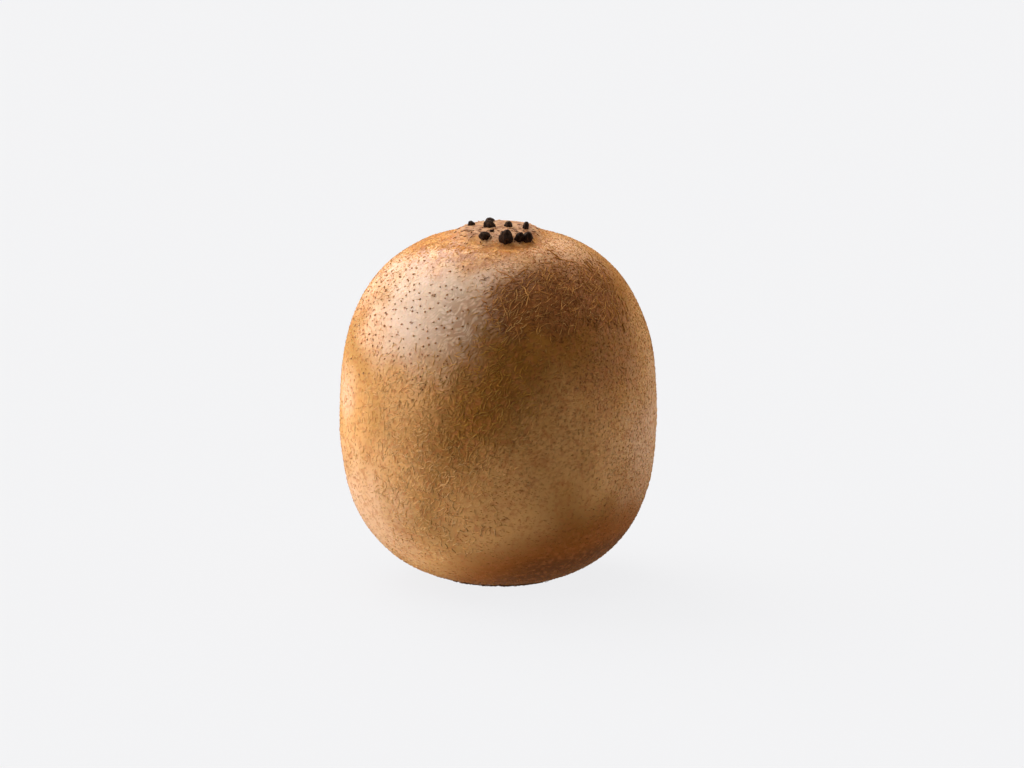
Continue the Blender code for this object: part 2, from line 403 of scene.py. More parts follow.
def grid_faces(rows, segments):
    """Quads between closed rings of vertices, with a fan to one more vertex at each end."""
    first = np.arange(rows - 1)[:, None] * segments
    here = np.arange(segments)[None, :]
    there = (here + 1) % segments
    below = first + segments
    quads = np.stack([first + here, below + here, below + there, first + there], -1)
    top = rows * segments
    last = (rows - 1) * segments
    ring = range(segments)
    cap = [(top, i, (i + 1) % segments) for i in ring]
    foot = [(top + 1, last + (i + 1) % segments, last + i) for i in ring]
    return quads.reshape(-1, 4).tolist() + cap + foot


def fan_uvs(segments, corners, heights):
    """The map of a fan of triangles: their corners across, in sides, and their heights."""
    side = np.arange(segments)[:, None]
    u = (side + np.array(corners)) / segments
    return np.stack([u, np.array(heights) + 0 * side], -1).reshape(-1, 2)


def grid_uvs(rows, segments):
    """A flat map for the faces of grid_faces: around the rings across, and along them upwards."""
    row = np.arange(rows - 1)[:, None, None]
    column = np.arange(segments)[None, :, None]
    u = (column + np.array([0, 0, 1, 1])) / segments + 0 * row
    v = 1 - (row + 1 + np.array([0, 1, 1, 0])) / (rows + 1) + 0 * column
    quads = np.stack([u, v], -1).reshape(-1, 2)
    rise = 1 / (rows + 1)
    cap = fan_uvs(segments, (0.5, 0, 1), (1, 1 - rise, 1 - rise))
    foot = fan_uvs(segments, (0.5, 1, 0), (0, rise, rise))
    return np.concatenate([quads, cap, foot])


def foot_relief(points):
    """How far the skin is hollowed over the sepals and over the stem's button."""
    flat = points - FOOT_BOW
    distance = np.hypot(flat[..., 0], flat[..., 1])
    angle = np.arctan2(flat[..., 1], flat[..., 0]) - SEPAL_FIRST_ANGLE
    spread = 2 * math.pi / SEPAL_COUNT
    off_middle = (angle + spread / 2) % spread - spread / 2
    across = np.abs(distance * np.sin(off_middle))
    along = (distance - GROOVE_INNER) / (GROOVE_TIP - GROOVE_INNER)
    width = GROOVE_HALF_WIDTH * np.sqrt(np.clip(1 - (2 * along - 1) ** 2, 0, 1))
    groove = GROOVE_HEIGHT * smooth_step(width - across, -GROOVE_WALL, GROOVE_WALL) * (width > 0)
    recess = RECESS_HEIGHT * smooth_step(-distance, -RECESS_RADIUS - RECESS_WALL, -RECESS_RADIUS)
    low = points[..., 2] < GROOVE_HEIGHT
    return np.maximum(groove, recess) * low


def skin_points():
    """The skin's rings of points from the nub down, then its two end points."""
    reach = np.linspace(0, PROFILE_LENGTH, SKIN_ROWS + 2)[1:-1, None]
    around = turns_round(SKIN_SEGMENTS)
    rings, _, _, _ = skin_frame(reach + 0 * around, around + 0 * reach)
    end_reach = np.array([0.0, PROFILE_LENGTH])
    ends, _, _, _ = skin_frame(end_reach, np.zeros(2))
    ends[:, :2] = smooth_skin(end_reach, np.zeros(2))[:, :2]
    return np.concatenate([rings.reshape(-1, 3), ends])


def skin_kinds(points):
    """How much of each kind of skin, and of painted light and shade, there is at points."""
    kinds = {name: patches(points, *places) for name, places in SKIN_PATCHES.items()}
    kinds["tan"] = tan_share(points)
    kinds["foot"] = foot_share(points)
    kinds["nub"] = nub_share(points)
    kinds["collar"] = collar_share(points)
    kinds["bare"] *= 1 - TAN_ON_BARE * kinds["tan"]
    return kinds


def add_skin():
    """The fruit's skin as one closed mesh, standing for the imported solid."""
    points = skin_points()
    kinds = skin_kinds(points)
    points[:, 2] = np.maximum(points[:, 2], foot_relief(points))
    skin = mesh_object("skin", points, grid_faces(SKIN_ROWS, SKIN_SEGMENTS))
    for name, values in kinds.items():
        store(skin.data, name, values)
    store_uvs(skin.data, grid_uvs(SKIN_ROWS, SKIN_SEGMENTS))
    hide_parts("kiwi_fruit")
    return skin


# ---- fuzz

# The angle that hair lies at, from the way round the fruit: at the foot, and how much more above it.
FLOW_HEIGHTS = (8 * MM, 26 * MM)
FLOW_AT_FOOT = math.radians(8)
FLOW_CLIMB = math.radians(32)
FLOW_WANDER = 0.45
DIAGONAL_LEAN = math.radians(48)
# How much single hairs stray from it.
COMBED_SPREAD = 0.4
TOUSLED_SPREAD = 0.7
DIAGONAL_SPREAD = 0.65
OUTWARD_SPREAD = 0.7

# A hair's shape.
HAIR_SIDES = 3
HAIR_ROOT_DEPTH = 0.08 * MM
HAIR_CLEARANCE = 0.02 * MM
HAIR_WAVER = 0.18
HAIR_ARCH = 0.85 * math.pi
HAIR_ARCH_SKEW = 0.8
HAIR_THICKNESS = (0.75, 1.2)
HAIR_TAPER = 0.45
HAIR_MAP_TOP = 0.9
# How far hair stays above what the fruit rests on: its middle line and its surface.
PATH_CLEARANCE = 0.03 * MM
HAIR_FLOOR = 0.01 * MM
# How much painted shade darkens hair on the foot and the tan skin, and how little of that the long hair
# takes.
FOOT_PAINTED_SHADE = 0.8
TAN_PAINTED_SHADE = 0.4
LONG_SPARED = 0.85
FUZZ_SEED = 100


@dataclass
class Fuzz:
    """A kind of hair. Its sizes are in millimetres, its curl is in degrees, and a pair is a range."""

    name: str
    look: str  # its material
    chance: object  # gives the share of places where it grows
    heading: object  # gives the way that each hair points
    spacing: float  # from one place to the next
    length: tuple
    curl: tuple  # how far it turns from root to tip
    lift: tuple  # how high it arches above the skin
    radius: float
    segments: int


def flow(points):
    """The angle that hair lies at, from the way round the fruit: level near the foot, rising above."""
    rising = smooth_step(points[..., 2], *FLOW_HEIGHTS)
    return FLOW_AT_FOOT + FLOW_CLIMB * rising + FLOW_WANDER * soft_noise(points, *FLOW_BENDS)


def either_way(points, random):
    """Nothing or half a turn for each hair."""
    return random.integers(0, 2, len(points)) * math.pi


def combed(points, random):
    """Hairs that lie along the flow, either way round."""
    flip = either_way(points, random)
    return flow(points) + flip + random.normal(0, COMBED_SPREAD, len(points))


def tousled(points, random):
    """Hairs that follow the flow only loosely."""
    return combed(points, random) + random.normal(0, TOUSLED_SPREAD, len(points))


def diagonal(points, random):
    """Hairs that rise from the left to the right."""
    flip = either_way(points, random)
    return DIAGONAL_LEAN + flip + random.normal(0, DIAGONAL_SPREAD, len(points))


def outward(points, random):
    """Hairs that point away from the nub."""
    return -math.pi / 2 + random.normal(0, OUTWARD_SPREAD, len(points))


def curly_chance(points):
    """Curly hair grows on its own patches, and stops short of the bare ones."""
    return patches(points, CURLY_PATCHES, 0.6) * (1 - patches(points, BARE_PATCHES, 0.5, 1.1))


def long_chance(points):
    """Long hair grows on its own patches, outside the collar."""
    return patches(points, LONG_PATCHES) * (1 - collar_share(points))


def short_chance(points):
    """Short hair grows everywhere else, thinly on the bare patches and not on top of the nub."""
    open_skin = 1 - 0.9 * patches(points, BARE_PATCHES) - 0.55 * patches(points, CURLY_PATCHES)
    open_skin = np.clip(open_skin, 0, 1) * (1 - 0.6 * patches(points, SMOOTH_PATCHES, 0.7))
    return open_skin * (1 - nub_share(points)) * (1 - 0.7 * collar_share(points))


def pore_chance(points):
    """Pores show on the bare skin and round it, outside the collar."""
    return 0.95 * patches(points, PORE_PATCHES, 0.5) * (1 - collar_share(points))


def speck_chance(points):
    """Specks lie where the skin is neither curly, bare nor smooth."""
    hidden = patches(points, CURLY_PATCHES) + pore_chance(points) + collar_share(points)
    hidden = hidden + patches(points, SMOOTH_PATCHES, 0.7)
    return np.clip(0.9 - hidden, 0, 1) * (1 - nub_share(points)) * (1 - 0.5 * foot_share(points))


def down_chance(points):
    """Short pale down stands among the specks, but not on the foot."""
    return 0.6 * speck_chance(points) * (1 - smooth_step(foot_share(points), 0, 0.5))


def nub_chance(points):
    """Dark tufts stand on the front of the nub."""
    return 0.4 * nub_share(points) * smooth_step(-points[..., 1], 4 * MM, 8 * MM)


def foot_chance(points):
    """Dark tufts stand in a ring round the flat spot."""
    away = np.linalg.norm((points - FOOT_BOW) * (1, 1, 0), axis=-1)
    ring = smooth_step(away, 6 * MM, 8 * MM) * smooth_step(-away, -12 * MM, -9 * MM)
    return ring * (points[..., 2] < 3 * MM)


FUZZ = (
    Fuzz("curly_fuzz", "golden_fuzz", curly_chance, diagonal, spacing=0.68, length=(0.9, 2.0),
         curl=(20, 100), lift=(-0.07, -0.01), radius=0.135, segments=5),
    Fuzz("long_fuzz", "pale_fuzz", long_chance, diagonal, spacing=0.95, length=(1.4, 3.4),
         curl=(5, 40), lift=(-0.03, 0.09), radius=0.110, segments=5),
    Fuzz("under_fuzz", "ruddy_fuzz", long_chance, tousled, spacing=0.60, length=(0.5, 1.3),
         curl=(20, 70), lift=(-0.05, 0.03), radius=0.120, segments=3),
    Fuzz("short_fuzz", "brown_fuzz", short_chance, combed, spacing=0.60, length=(0.4, 0.9),
         curl=(0, 60), lift=(0.00, 0.06), radius=0.045, segments=2),
    Fuzz("collar_fuzz", "amber_fuzz", collar_share, outward, spacing=0.55, length=(0.3, 0.8),
         curl=(0, 70), lift=(-0.10, -0.06), radius=0.125, segments=3),
    Fuzz("nub_fuzz", "dark_fuzz", nub_chance, outward, spacing=0.50, length=(0.4, 1.0),
         curl=(0, 60), lift=(-0.04, 0.08), radius=0.090, segments=3),
    Fuzz("pores", "pore_brown", pore_chance, combed, spacing=1.45, length=(0.12, 0.35),
         curl=(0, 30), lift=(0.0, 0.02), radius=0.290, segments=2),
    Fuzz("specks", "russet_fuzz", speck_chance, combed, spacing=0.90, length=(0.15, 0.55),
         curl=(0, 40), lift=(-0.06, -0.03), radius=0.145, segments=2),
    Fuzz("down", "golden_fuzz", down_chance, tousled, spacing=0.85, length=(0.3, 0.9),
         curl=(0, 70), lift=(-0.07, -0.03), radius=0.135, segments=3),
    Fuzz("foot_fuzz", "dark_fuzz", foot_chance, tousled, spacing=0.45, length=(0.6, 1.4),
         curl=(0, 60), lift=(0.02, 0.20), radius=0.090, segments=3),
)


def scatter(spacing, random):
    """Evenly scattered places on the whole skin: reaches along the profile, and angles around."""
    reaches = []
    angles = []
    for row in np.arange(spacing / 2, PROFILE_LENGTH, spacing):
        radius = np.interp(row, PROFILE_REACH, PROFILE_RADIUS)
        count = max(round(2 * math.pi * radius / spacing), 1)
        places = np.arange(count) + random.uniform(-0.5, 0.5, count)
        angles.append(places * 2 * math.pi / count)
        reaches.append(row + random.uniform(-0.5, 0.5, count) * spacing)
    reach = np.clip(np.concatenate(reaches), 0, PROFILE_LENGTH)
    return reach, np.concatenate(angles) % (2 * math.pi)


def hair_paths(kind, reach, around, random):
    """Points along each hair, from just under the skin to its tip, and its skin's normal."""
    root, normal, east, north = skin_frame(reach, around)
    count = len(root)
    length = random.uniform(*kind.length, count) * MM
    lift = random.uniform(*kind.lift, count) * MM
    curl = np.radians(random.uniform(*kind.curl, count)) * random.choice([-1, 1], count)
    start = kind.heading(root, random)
    across = np.zeros(count)
    along = np.zeros(count)
    path = [root - normal * HAIR_ROOT_DEPTH]
    for step in range(1, kind.segments + 1):
        share = step / kind.segments
        heading = start + curl * (share - 0.5) + random.normal(0, HAIR_WAVER, count)
        across = across + np.cos(heading) * length / kind.segments
        along = along + np.sin(heading) * length / kind.segments
        fall = (across**2 + along**2) / (2 * WAIST_RADIUS)
        height = lift * math.sin(HAIR_ARCH * share**HAIR_ARCH_SKEW) + HAIR_CLEARANCE - fall
        aside = east * across[:, None] + north * along[:, None]
        path.append(root + aside + normal * height[:, None])
    path = np.stack(path, axis=1)
    path[..., 2] = np.maximum(path[..., 2], PATH_CLEARANCE)
    return path, normal


def hair_rings(kind, path, normal, random):
    """The corners round each point of each path, and the tips."""
    ahead = path[:, 1:] - path[:, :-1]
    ahead = unit(np.concatenate([ahead[:, :1], (ahead[:, 1:] + ahead[:, :-1]) / 2], axis=1))
    side = unit(np.cross(ahead, normal[:, None]))
    up = np.cross(side, ahead)
    taper = 1 - HAIR_TAPER * np.arange(kind.segments) / kind.segments
    size = random.uniform(*HAIR_THICKNESS, (len(path), 1)) * kind.radius * MM * taper
    corners = []
    for corner in range(HAIR_SIDES):
        turn = math.radians(90 + 360 / HAIR_SIDES * corner)
        offset = side * math.cos(turn) + up * math.sin(turn)
        corners.append(path[:, :-1] + offset * size[..., None])
    return np.stack(corners, axis=2), path[:, -1]


def hair_faces(segments):
    """One hair's faces, and its map within a square: its sides in strips, and its cut end above."""
    faces = []
    uvs = []
    for ring in range(segments):
        low = ring / segments * HAIR_MAP_TOP
        high = (ring + 1) / segments * HAIR_MAP_TOP
        for corner in range(HAIR_SIDES):
            left = corner / HAIR_SIDES
            right = (corner + 1) / HAIR_SIDES
            here = HAIR_SIDES * ring + corner
            beside = HAIR_SIDES * ring + (corner + 1) % HAIR_SIDES
            if ring < segments - 1:
                faces.append((here, beside, beside + HAIR_SIDES, here + HAIR_SIDES))
                uvs += [(left, low), (right, low), (right, high), (left, high)]
            else:
                faces.append((here, beside, HAIR_SIDES * segments))
                uvs += [(left, low), (right, low), ((left + right) / 2, high)]
    faces.append((2, 1, 0))
    uvs += [(0.1, 0.93), (0.5, 0.99), (0.9, 0.93)]
    return faces, np.array(uvs)


def hair_painted_shade(roots):
    """How much painted shade darkens each hair, from the skin that it grows on."""
    dark = np.maximum(patches(roots, OLIVE_AND_SHADE_PATCHES, 0.8), FOOT_PAINTED_SHADE * foot_share(roots))
    dark = np.maximum(dark, TAN_PAINTED_SHADE * tan_share(roots))
    return dark * (1 - LONG_SPARED * patches(roots, LONG_PATCHES))


def hair_map(uvs, count):
    """The map of all the hairs, each in a square of its own."""
    side = math.ceil(math.sqrt(count))
    cell = np.stack([np.arange(count) % side, np.arange(count) // side], axis=-1)
    return (cell[:, None] + 0.1 + 0.8 * uvs) / side


def add_fuzz_piece(kind, name, reach, around, random):
    """One piece of fuzz: a closed, tapered, three-sided hair at each place."""
    path, normal = hair_paths(kind, reach, around, random)
    rings, tips = hair_rings(kind, path, normal, random)
    count = len(tips)
    each = HAIR_SIDES * kind.segments + 1
    vertices = np.concatenate([rings.reshape(count, -1, 3), tips[:, None]], axis=1)
    vertices[..., 2] = np.maximum(vertices[..., 2], HAIR_FLOOR)
    faces, uvs = hair_faces(kind.segments)
    starts = range(0, count * each, each)
    all_faces = [[start + corner for corner in face] for start in starts for face in faces]
    piece = mesh_object(name, vertices.reshape(-1, 3), all_faces)
    share = np.append(np.repeat(np.arange(kind.segments) / kind.segments, HAIR_SIDES), 1)
    store(piece.data, "share", np.tile(share, count))
    store(piece.data, "tint", np.repeat(random.uniform(0, 1, count), each))
    # Painted shade on each hair, from the skin that it grows on.
    store(piece.data, "dark", np.repeat(hair_painted_shade(path[:, 0]), each))
    store_uvs(piece.data, hair_map(uvs, count))
    return piece


def add_fuzz(kind, seed):
    """All the fuzz of one kind, its front and its back as separate pieces."""
    random = np.random.default_rng(seed)
    reach, around = scatter(kind.spacing * MM, random)
    points = smooth_skin(reach, around)
    grows = random.uniform(0, 1, len(reach)) < kind.chance(points)
    grows &= points[:, 2] > REST_HEIGHT
    pieces = []
    for side, here in (("front", around >= math.pi), ("back", around < math.pi)):
        chosen = grows & here
        name = f"{kind.name}_{side}"
        pieces.append(add_fuzz_piece(kind, name, reach[chosen], around[chosen], random))
    return pieces


# ---- dried flower and stem

# A dried style's outline from its foot up over its end: shares of its height and of its radius.
STUB_OUTLINE = np.array((
    (0.00, 0.82), (0.14, 0.94), (0.30, 1.02), (0.46, 1.04), (0.61, 1.00), (0.74, 0.90),
    (0.85, 0.74), (0.93, 0.54), (0.97, 0.34), (0.96, 0.16),
))
STUB_SIDES = 24
STUB_LUMP = 0.09
STUB_RIDGE = 0.07
STUB_RIDGES = 5
STUB_SEED = 60

SEPAL_ROWS = 12
SEPAL_SEGMENTS = 16
SEPAL_START = 2.7 * MM
SEPAL_LENGTH = 6.6 * MM
SEPAL_HALF_WIDTH = 1.1 * MM
SEPAL_THICKNESS = 0.13 * MM
SEPAL_SEAT = 0.16 * MM
SEPAL_EDGE_CURL = 0.10 * MM
SEPAL_TIP_CURL = 0.35 * MM
SEPAL_WAVE = 0.06 * MM
SEPAL_RAGGEDNESS = 0.12 * MM
SEPAL_SEED = 40

BUTTON_ROWS = 20
BUTTON_SEGMENTS = 48
BUTTON_ROUNDNESS = 0.5
BUTTON_ROUGHNESS = 0.05 * MM
BUTTON_PIT = 0.30 * MM


def node_box(node):
    """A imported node's lowest and highest corners, as arrays."""
    return [np.array(corner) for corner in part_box(node)]


def stub_rings(node, seed):
    """Rings round a dried style, a lumpy, ridged stub that leans away from the nub's middle."""
    low, high = node_box(node)
    random = np.random.default_rng(seed)
    middle = (low + high) / 2
    size = high - low
    away = unit((middle - NUB_MIDDLE) * (1, 1, 0))
    radius = min(size[0], size[1]) / 2
    share, width = STUB_OUTLINE[:, :1], STUB_OUTLINE[:, 1:]
    turn = turns_round(STUB_SIDES)
    ring = radius * width * (1 + 0 * turn)
    lean = (share - 0.5) * max(np.abs(size[:2] * away[:2]).sum() - 2 * radius, 0)
    x = middle[0] + ring * np.cos(turn) + lean * away[0]
    y = middle[1] + ring * np.sin(turn) + lean * away[1]
    points = np.stack([x, y, low[2] + size[2] * share + 0 * turn], axis=-1)
    core = points.mean(axis=1, keepdims=True)
    lumps = STUB_LUMP * soft_noise(points, 0.9 * MM, seed)
    lumps = lumps + 0.5 * STUB_LUMP * soft_noise(points, 0.4 * MM, seed + 1)
    ridges = STUB_RIDGE * np.sin(STUB_RIDGES * turn + random.uniform(0, 6) + 1.4 * share)
    points = core + (points - core) * (1 + lumps + ridges)[..., None]
    points[..., 2] += 0.05 * size[2] * share * soft_noise(points, 0.8 * MM, seed + 2)
    return points[::-1]


def sepal_rings(node, number):
    """Rings round a dried sepal: a thin curled leaf pressed against the foot, with a raised midrib."""
    low, _ = node_box(node)
    angle = SEPAL_FIRST_ANGLE + number * 2 * math.pi / SEPAL_COUNT
    random = np.random.default_rng(SEPAL_SEED + number)
    along = np.linspace(0, 1, SEPAL_ROWS)[:, None]
    across = np.cos(turns_round(SEPAL_SEGMENTS))
    over = np.sin(turns_round(SEPAL_SEGMENTS))
    outline = np.sqrt(np.clip(1 - (2 * along * 0.93 - 0.86) ** 2, 0.02, 1))
    frill = 1 + 0.12 * np.sin(17 * along + number)
    half_width = SEPAL_HALF_WIDTH * outline * (1 - 0.25 * along) * frill
    midrib = 1 + 0.5 * np.exp(-((across * 4) ** 2))
    thick = SEPAL_THICKNESS * (1 - 0.4 * along) * midrib
    curl = SEPAL_EDGE_CURL * across**2 + SEPAL_TIP_CURL * along**3
    curl = curl + SEPAL_WAVE * np.sin(9 * along + 4 * across)
    height = low[2] + SEPAL_SEAT + curl + over * thick
    radial = SEPAL_START + SEPAL_LENGTH * along + 0 * across
    ragged = SEPAL_RAGGEDNESS * random.uniform(-1, 1, (SEPAL_ROWS, 1)) * along
    sideways = half_width * across + ragged
    x = FOOT_BOW[0] + radial * math.cos(angle) - sideways * math.sin(angle)
    y = FOOT_BOW[1] + radial * math.sin(angle) + sideways * math.cos(angle)
    return np.stack([x, y, np.maximum(height, REST_HEIGHT)], -1)[::-1]


def button_rings():
    """Rings round the button where the stalk broke off: a ridged woody disc with a torn pit below."""
    low, high = node_box("stem_scar")
    middle = (low + high) / 2
    radius = (high[0] - low[0]) / 2
    tall = (high[2] - low[2]) / 2
    share = np.linspace(0, 1, BUTTON_ROWS)[:, None]
    turn = turns_round(BUTTON_SEGMENTS)
    sweep = math.pi * (share * 0.96 + 0.02)
    rim = 1 + 0.03 * np.sin(7 * turn) + 0.02 * np.sin(13 * turn)
    wide = radius * np.sin(sweep) ** BUTTON_ROUNDNESS * rim
    rise = np.sign(np.cos(sweep)) * np.abs(np.cos(sweep)) ** BUTTON_ROUNDNESS
    rough = BUTTON_ROUGHNESS * np.sin(wide / radius * 14 + 2 * np.sin(3 * turn))
    pit = BUTTON_PIT * smooth_step(-wide, -0.5 * radius, -0.3 * radius)
    height = middle[2] + tall * rise + np.where(np.cos(sweep) < 0, np.abs(rough) + pit, 0)
    return np.stack([middle[0] + wide * np.cos(turn), middle[1] + wide * np.sin(turn), height], -1)


def add_detailed(node, rings, material):
    """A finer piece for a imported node: rings of points from the top down, with a fan on each end."""
    rows, segments, _ = rings.shape
    ends = [rings[0].mean(axis=0), rings[-1].mean(axis=0)]
    vertices = np.concatenate([rings.reshape(-1, 3), ends])
    piece = mesh_object(f"{node}_detailed", vertices, grid_faces(rows, segments))
    store_uvs(piece.data, grid_uvs(rows, segments))
    piece.data.materials.append(material)
    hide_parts(node)


# ---- materials

# The skin's colours, as linear red, green and blue; the gaps' and the foot's browns are partly painted
# shade.
GOLDEN_BROWN = (0.62, 0.275, 0.050)
DULL_BROWN = (0.56, 0.250, 0.046)
RUDDY_BROWN = (0.55, 0.185, 0.055)
MOTTLE_BROWN = (0.47, 0.145, 0.040)
GAP_BROWN_AND_SHADE = (0.27, 0.100, 0.016)
SPOT_BROWN = (0.20, 0.075, 0.016)
TUFT_DARK = (0.44, 0.140, 0.018)
TUFT_LIGHT = (0.72, 0.320, 0.068)
NUB_DARK = (0.24, 0.090, 0.030)
NUB_LIGHT = (0.52, 0.27, 0.13)
FOOT_BROWN_AND_SHADE = (0.32, 0.090, 0.010)
FOOT_DARK_AND_SHADE = (0.130, 0.040, 0.008)
# The tints of its patches, from the lowest layer up: the kind of skin, how strong, and the colour.
PATCH_TINTS = (
    # Partly painted shade: a redder, darker brown, mostly low on the right front.
    ("ruddy", 0.60, (0.47, 0.150, 0.035)),
    # Partly painted shade: a duller, darker brown that dims the brightly lit back.
    ("tan", 0.90, (0.38, 0.200, 0.085)),
    # Partly painted shade: the darker ground under the curly hair.
    ("curly", 0.65, (0.37, 0.170, 0.036)),
    # Partly painted shade: darker, more olive skin, mostly in the middle and on the right.
    ("dark", 1.00, (0.32, 0.120, 0.012)),
    # Partly painted light: paler, more golden skin that brightens the fruit in patches.
    ("pale", 1.00, (0.74, 0.365, 0.120)),
    # Partly painted sheen: pinker, paler skin on the rims and the crown.
    ("pink_and_sheen", 0.85, (0.84, 0.49, 0.27)),
    # Partly painted highlight: the bare skin's whitish tint.
    ("bare", 0.75, (0.80, 0.60, 0.44)),
    # Partly painted shade: the dark red ground under the long hair.
    ("long", 0.80, (0.28, 0.076, 0.011)),
)
# Each look of the fuzz: its colour at the root, at the tip, and on the hairs that differ.
FUZZ_COLOURS = {
    "golden_fuzz": ((0.68, 0.34, 0.10), (0.90, 0.53, 0.22), (0.70, 0.31, 0.08)),
    "amber_fuzz": ((0.56, 0.21, 0.034), (0.72, 0.32, 0.07), (0.46, 0.15, 0.024)),
    "pale_fuzz": ((0.48, 0.17, 0.035), (0.80, 0.38, 0.105), (0.56, 0.22, 0.05)),
    "ruddy_fuzz": ((0.30, 0.095, 0.016), (0.48, 0.18, 0.040), (0.28, 0.085, 0.014)),
    "brown_fuzz": ((0.50, 0.19, 0.04), (0.64, 0.27, 0.07), (0.50, 0.19, 0.04)),
    "russet_fuzz": ((0.36, 0.130, 0.024), (0.46, 0.175, 0.036), (0.40, 0.145, 0.028)),
    "pore_brown": ((0.46, 0.205, 0.078), (0.52, 0.250, 0.110), (0.40, 0.165, 0.055)),
    "dark_fuzz": ((0.08, 0.028, 0.010), (0.13, 0.045, 0.014), (0.16, 0.055, 0.016)),
}
# The tint that painted shade gives the hair.
PAINTED_SHADE_TINT = (0.56, 0.46, 0.16)
WHITE = (1.0, 1.0, 1.0)
STYLE_COLOURS = ((0.022, 0.010, 0.005), (0.12, 0.050, 0.018))
STEM_COLOURS = ((0.035, 0.018, 0.010), (0.16, 0.08, 0.04))
SHEEN_TINT = (1.0, 0.82, 0.62, 1)
SOFT_RADIUS = (1.0, 0.45, 0.20)
SKIN_BUMP = 0.07 * MM
DRIED_BUMP = 0.12 * MM


class Recipe:
    """A material's nodes, with a short method for each kind that the looks use."""

    def __init__(self, name, **shader):
        self.material = bpy.data.materials.new(name)
        self.material.use_nodes = True
        self.tree = self.material.node_tree
        self.shader = self.tree.nodes["Principled BSDF"]
        for socket, value in shader.items():
            self.shader.inputs[socket.replace("_", " ")].default_value = value

    def node(self, kind, sockets, **settings):
        """A new node with links or values in its sockets."""
        made = self.tree.nodes.new(kind)
        for name, value in settings.items():
            setattr(made, name, value)
        for key, value in sockets.items():
            if isinstance(value, bpy.types.NodeSocket):
                self.tree.links.new(value, made.inputs[key])
            else:
                made.inputs[key].default_value = value
        return made

    def link(self, value, socket):
        """Let a value drive one of the shader's sockets."""
        self.tree.links.new(value, self.shader.inputs[socket])

    def vector(self, operation, sockets):
        """A step of arithmetic on places."""
        return self.node("ShaderNodeVectorMath", sockets, operation=operation).outputs[0]

    def place(self, scale=(1, 1, 1)):
        """The place on the object in millimetres, with each axis scaled."""
        where = self.node("ShaderNodeTexCoord", {}).outputs["Object"]
        sizes = [axis / MM for axis in scale]
        return self.node("ShaderNodeMapping", {"Vector": where, "Scale": sizes}).outputs[0]

    def combed_place(self, lean, wander, thick):
        """The place with wavering, squeezed so that round marks become strokes at a lean in degrees."""
        where = self.node("ShaderNodeTexCoord", {}).outputs["Object"]
        drift_sockets = {"Vector": self.place(), "Scale": 0.30, "Detail": 1.0}
        drift = self.node("ShaderNodeTexNoise", drift_sockets).outputs[1]
        off = self.vector("SUBTRACT", {0: drift, 1: (0.5, 0.5, 0.5)})
        off = self.vector("SCALE", {0: off, "Scale": wander * MM})
        turning = {"Vector": self.vector("ADD", {0: where, 1: off})}
        turning["Rotation"] = (0, math.radians(lean), 0)
        turned = self.node("ShaderNodeMapping", turning).outputs[0]
        sizes = (thick / MM, 1 / MM, 1 / MM)
        return self.node("ShaderNodeMapping", {"Vector": turned, "Scale": sizes}).outputs[0]

    def kept(self, name):
        """A number that the mesh keeps for each vertex."""
        return self.node("ShaderNodeAttribute", {}, attribute_name=name).outputs["Fac"]

    def noise(self, place, scale, detail=3.0, roughness=0.5, distortion=0.0):
        """Cloudy noise around a half, with so many features a millimetre."""
        sockets = {"Vector": place, "Scale": scale, "Detail": detail}
        sockets |= {"Roughness": roughness, "Distortion": distortion}
        return self.node("ShaderNodeTexNoise", sockets).outputs[0]

    def cells(self, place, scale):
        """How far a place is from the nearest of scattered middles."""
        return self.node("ShaderNodeTexVoronoi", {"Vector": place, "Scale": scale}).outputs["Distance"]

    def ramp(self, value, low, high, to_low=0.0, to_high=1.0):
        """A value's smooth way from to_low to to_high while it goes from low to high."""
        sockets = {0: value, 1: low, 2: high, 3: to_low, 4: to_high}
        return self.node("ShaderNodeMapRange", sockets, interpolation_type="SMOOTHSTEP").outputs[0]

    def maths(self, operation, a, b):
        """A step of arithmetic on numbers."""
        return self.node("ShaderNodeMath", {0: a, 1: b}, operation=operation).outputs[0]

    def times(self, a, b):
        """One number times another."""
        return self.maths("MULTIPLY", a, b)

    def less(self, a, b):
        """One number less another."""
        return self.maths("SUBTRACT", a, b)

    def mix(self, share, a, b, blend="MIX"):
        """A share of colour b over colour a."""
        a = (*a, 1) if isinstance(a, tuple) else a
        b = (*b, 1) if isinstance(b, tuple) else b
        sockets = {0: share, 6: a, 7: b}
        return self.node("ShaderNodeMix", sockets, data_type="RGBA", blend_type=blend).outputs[2]

    def bump(self, height, distance, strength=1.0):
        """Raise the surface by a height, which stands for up to a distance in metres."""
        sockets = {"Height": height, "Distance": distance, "Strength": strength}
        self.link(self.node("ShaderNodeBump", sockets).outputs[0], "Normal")

    def soften(self, weight, depth):
        """Let light spread under the surface, by a depth in millimetres."""
        self.shader.inputs["Subsurface Weight"].default_value = weight
        self.shader.inputs["Subsurface Radius"].default_value = SOFT_RADIUS
        self.shader.inputs["Subsurface Scale"].default_value = depth * MM


